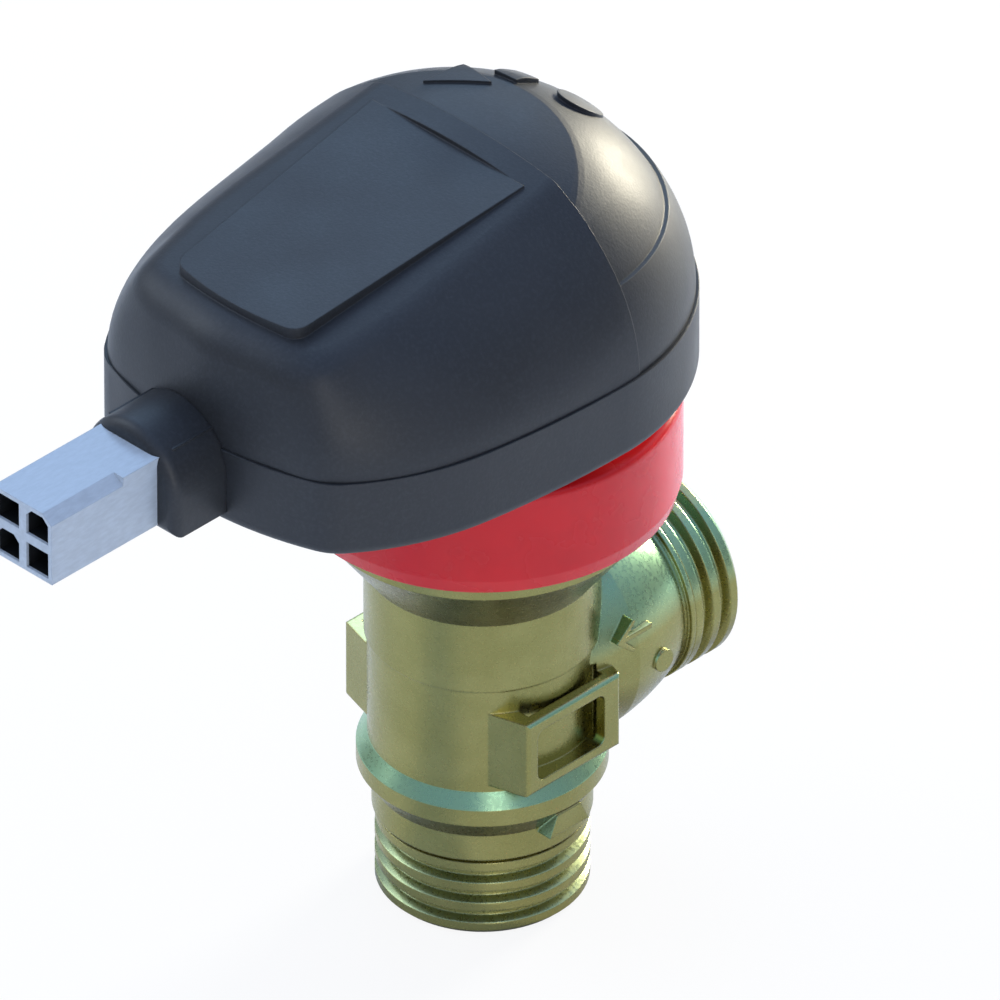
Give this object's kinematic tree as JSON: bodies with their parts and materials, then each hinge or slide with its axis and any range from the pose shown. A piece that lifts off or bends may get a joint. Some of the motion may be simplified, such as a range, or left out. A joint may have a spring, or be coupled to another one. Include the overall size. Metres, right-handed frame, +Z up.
{
  "type": "electronic control valve",
  "caption": "Brass angle ball valve with threaded lower and side ports, carrying a black electric actuator with a plug, locked on by a red ring.",
  "frame": {"origin": "centre of the lower port's end face", "axes": "+Z up along the stem towards the actuator, +Y out of the side port, the plug points to -Y"},
  "size_m": [0.0598, 0.1075, 0.1132],
  "materials": {
    "brass_forging": "forged brass with an olive-yellow passivated finish",
    "turned_brass": "turned",
    "ball_chrome": "plated and polished",
    "seat_plastic": "smooth",
    "seal_rubber": "moulded",
    "ring_plastic": "glossy moulded",
    "shell_plastic": "fine spark-eroded grain",
    "surround_rubber": "soft-edged moulded",
    "plug_plastic": "moulded, natural grey",
    "contact_metal": "tinned",
    "screw_steel": "zinc plated",
    "spring_steel": "phosphated",
    "motor_can": "drawn can",
    "gear_plastic": "moulded acetal",
    "cam_plastic": "moulded",
    "switch_plastic": "moulded",
    "board_laminate": "solder-masked laminate"
  },
  "bodies": {
    "housing": {"valve_body": "brass_forging", "lower_seat": "seat_plastic", "side_seat": "seat_plastic", "seat_retainer": "turned_brass", "stem_thrust_washer": "seat_plastic", "valve_bonnet": "turned_brass", "bonnet_seal": "seal_rubber", "ring_retainer": "spring_steel", "base_shell": "shell_plastic", "top_cover": "shell_plastic", "shell_seal": "seal_rubber", "housing_screws": "screw_steel", "plug_surround": "surround_rubber", "plug_housing": "plug_plastic", "plug_terminals": "contact_metal", "gear_plate": "screw_steel", "plate_screws": "screw_steel", "motor": "motor_can", "gear_axles": "screw_steel", "output_bush": "turned_brass", "limit_switches": "switch_plastic", "circuit_board": "board_laminate", "board_posts": "turned_brass", "board_parts": "switch_plastic"},
    "output_drive": {"output_gear": "gear_plastic", "position_cam": "cam_plastic", "valve_stem": "turned_brass", "stem_seals": "seal_rubber", "valve_ball": "ball_chrome"},
    "second_gear_body": {"second_gear": "gear_plastic"},
    "first_gear_body": {"first_gear": "gear_plastic"},
    "motor_rotor": {"motor_pinion": "gear_plastic"},
    "lock_ring": {"coupling_ring": "ring_plastic"}
  },
  "joints": [
    {"name": "output_turn", "type": "hinge", "parent": "housing", "child": "output_drive", "pos_m": [0, 0, 0.0841], "axis": [0, 0, 1], "range_deg": [0, 90]},
    {"name": "second_gear_turn", "type": "hinge", "parent": "housing", "child": "second_gear_body", "pos_m": [-0.00887, -0.01903, 0.084], "axis": [0, 0, 1], "range_deg": [-360, 0]},
    {"name": "first_gear_turn", "type": "hinge", "parent": "housing", "child": "first_gear_body", "pos_m": [0.0039, -0.02798, 0.084], "axis": [0, 0, 1], "range_deg": [0, 1200]},
    {"name": "motor_turn", "type": "hinge", "parent": "housing", "child": "motor_rotor", "pos_m": [0.01373, -0.03486, 0.084], "axis": [0, 0, 1], "range_deg": [-3600, 0]},
    {"name": "ring_turn", "type": "hinge", "parent": "housing", "child": "lock_ring", "pos_m": [0, 0, 0.0661], "axis": [0, 0, 1], "range_deg": [0, 40]}
  ],
  "couplings": [
    {"joint": "output_turn", "follows": "second_gear_turn", "ratio": -0.25},
    {"joint": "first_gear_turn", "follows": "second_gear_turn", "ratio": -3.3333},
    {"joint": "motor_turn", "follows": "second_gear_turn", "ratio": 10}
  ]
}
